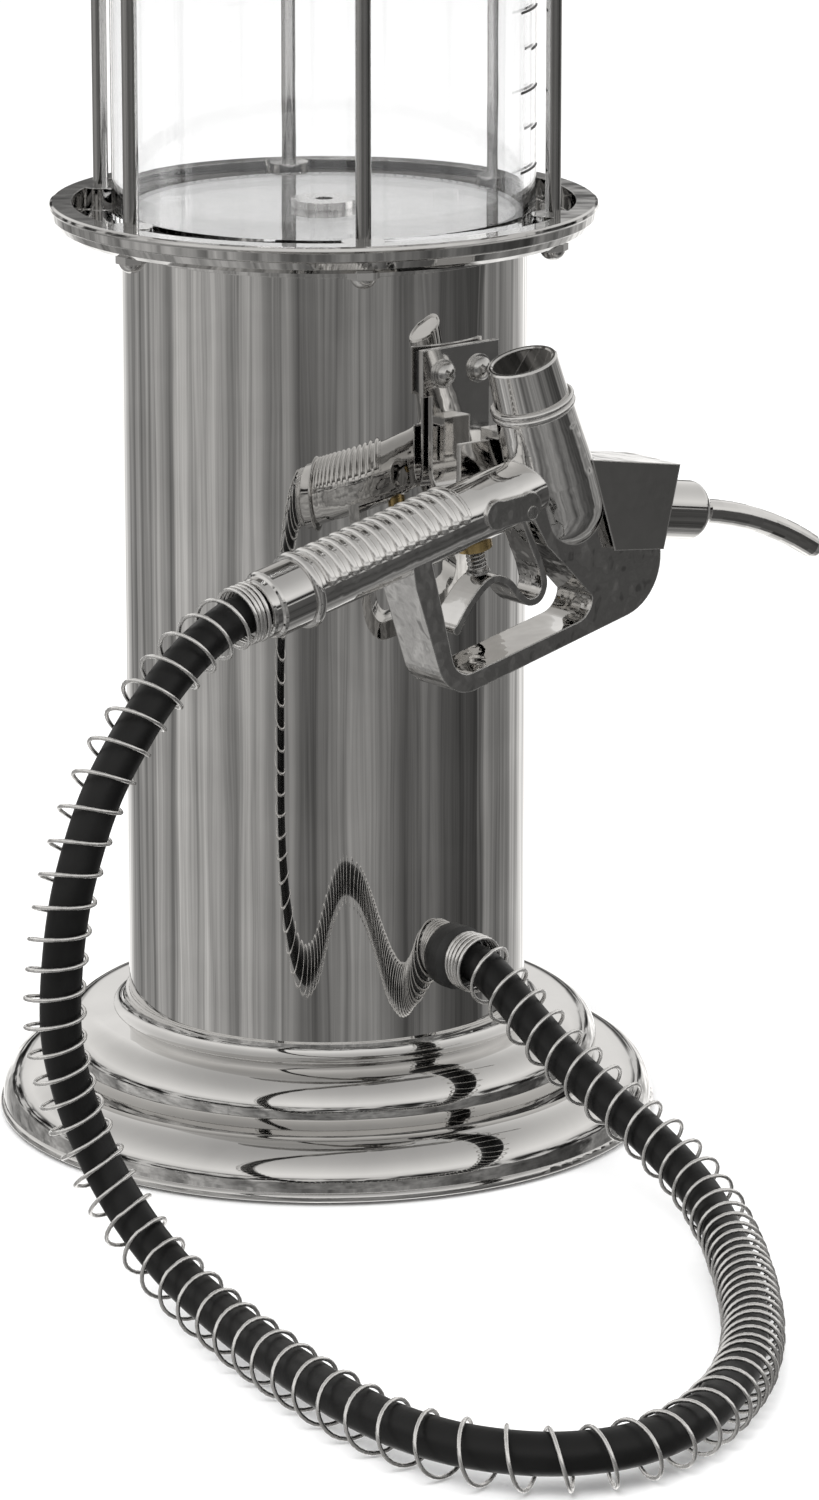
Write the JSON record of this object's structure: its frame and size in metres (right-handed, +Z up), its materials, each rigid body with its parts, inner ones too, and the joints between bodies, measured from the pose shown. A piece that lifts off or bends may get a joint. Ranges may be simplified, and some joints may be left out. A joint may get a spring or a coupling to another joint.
{
  "type": "countertop drinks dispenser",
  "caption": "Countertop drinks dispenser shaped like a retro fuel pump: chrome column and stepped base, clear canister caged by rods, trigger gun on a rubber hose in a loose wire spring.",
  "frame": {"origin": "middle of the base's underside, on the surface the dispenser stands on", "axes": "+Z up along the column, -Y the side with the gun bracket and the hose outlet, +X the way the spout points"},
  "size_m": [0.2523, 0.3364, 0.4017],
  "materials": {
    "pad_rubber": "thin black rubber sheet",
    "cover_plate": "dark coated sheet steel",
    "chrome": "polished chrome plate with a warm grey tone",
    "ballast": "raw cast weight",
    "core": "dark moulded plastic disc",
    "screw_steel": "bright steel",
    "column_foot": "dark moulded plastic disc",
    "chrome_column": "polished chrome tube, long soft vertical ripples in its reflections",
    "chrome_tray": "polished chrome with faint turning marks",
    "gasket": "translucent grey silicone",
    "rod_chrome": "darker chromed rod with light wear",
    "acrylic": "clear acrylic",
    "mark_ink": "black printed graduation lines",
    "hose_rubber": "black rubber, satin",
    "grommet_rubber": "black moulded rubber",
    "chrome_sheet": "chromed pressed sheet",
    "chrome_cast": "chromed casting, slightly wavy",
    "valve_brass": "turned brass",
    "spring_steel": "drawn spring wire",
    "spring_wire": "bright loose spring wire"
  },
  "bodies": {
    "dispenser": {"base_pad": "pad_rubber", "base_cover": "cover_plate", "base_lower_dome": "chrome", "base_upper_dome": "chrome", "base_ballast": "ballast", "base_core": "core", "base_screws": "screw_steel", "column_foot": "column_foot", "column_collar": "chrome", "column_tube": "chrome_column", "column_head": "chrome", "tray": "chrome_tray", "tray_screws": "screw_steel", "tray_gasket": "gasket", "rod_1": "rod_chrome", "rod_2": "rod_chrome", "rod_3": "rod_chrome", "rod_4": "rod_chrome", "rod_5": "rod_chrome", "rod_6": "rod_chrome", "rod_nuts_lower": "chrome", "rod_nuts_upper": "chrome", "canister_tube": "acrylic", "canister_floor": "acrylic", "canister_marks": "mark_ink", "top_gasket": "gasket", "top_ring": "chrome_tray", "outlet_fitting": "screw_steel", "outlet_nut": "screw_steel", "feed_hose": "hose_rubber", "feed_clamp": "screw_steel", "hose_grommet": "grommet_rubber", "bracket_pad": "pad_rubber", "bracket": "chrome_sheet", "bracket_nut_plate": "cover_plate", "bracket_screws": "screw_steel", "hose": "hose_rubber", "hose_spring": "spring_wire"},
    "lid": {"lid": "chrome_tray", "lid_seal": "gasket", "lid_knob": "chrome", "lid_screw": "screw_steel"},
    "gun": {"gun_body": "chrome_cast", "gun_cap_ring": "chrome", "gun_cap": "chrome", "gun_hood": "chrome_sheet", "gun_hanger": "chrome_sheet", "grip_ribs": "chrome_cast", "grip_ring": "chrome", "hose_collar": "chrome", "spout_sleeve": "chrome", "spout": "chrome", "valve_guide": "valve_brass", "valve_spring": "spring_steel", "trigger_pin": "screw_steel"},
    "trigger": {"trigger": "chrome_cast"},
    "stem": {"valve_stem": "screw_steel"}
  },
  "joints": [
    {"name": "lid_lift", "type": "slide", "parent": "dispenser", "child": "lid", "axis": [0, 0, 1], "range_m": [0, 0.06]},
    {"name": "gun_lift", "type": "slide", "parent": "dispenser", "child": "gun", "axis": [0, 0, 1], "range_m": [0, 0.018]},
    {"name": "trigger_squeeze", "type": "hinge", "parent": "gun", "child": "trigger", "pos_m": [-0.00419, -0.075, 0.1683], "axis": [0, 1, 0], "range_deg": [0, 9], "stiffness_Nm_per_rad": 0.3, "springref_deg": -8.59},
    {"name": "stem_push", "type": "slide", "parent": "gun", "child": "stem", "axis": [-0.2079, 0, 0.9781], "range_m": [0, 0.0022], "deforming": ["valve_spring"]}
  ],
  "couplings": [
    {"joint": "stem_push", "follows": "trigger_squeeze", "m_per_rad": 0.0133}
  ]
}
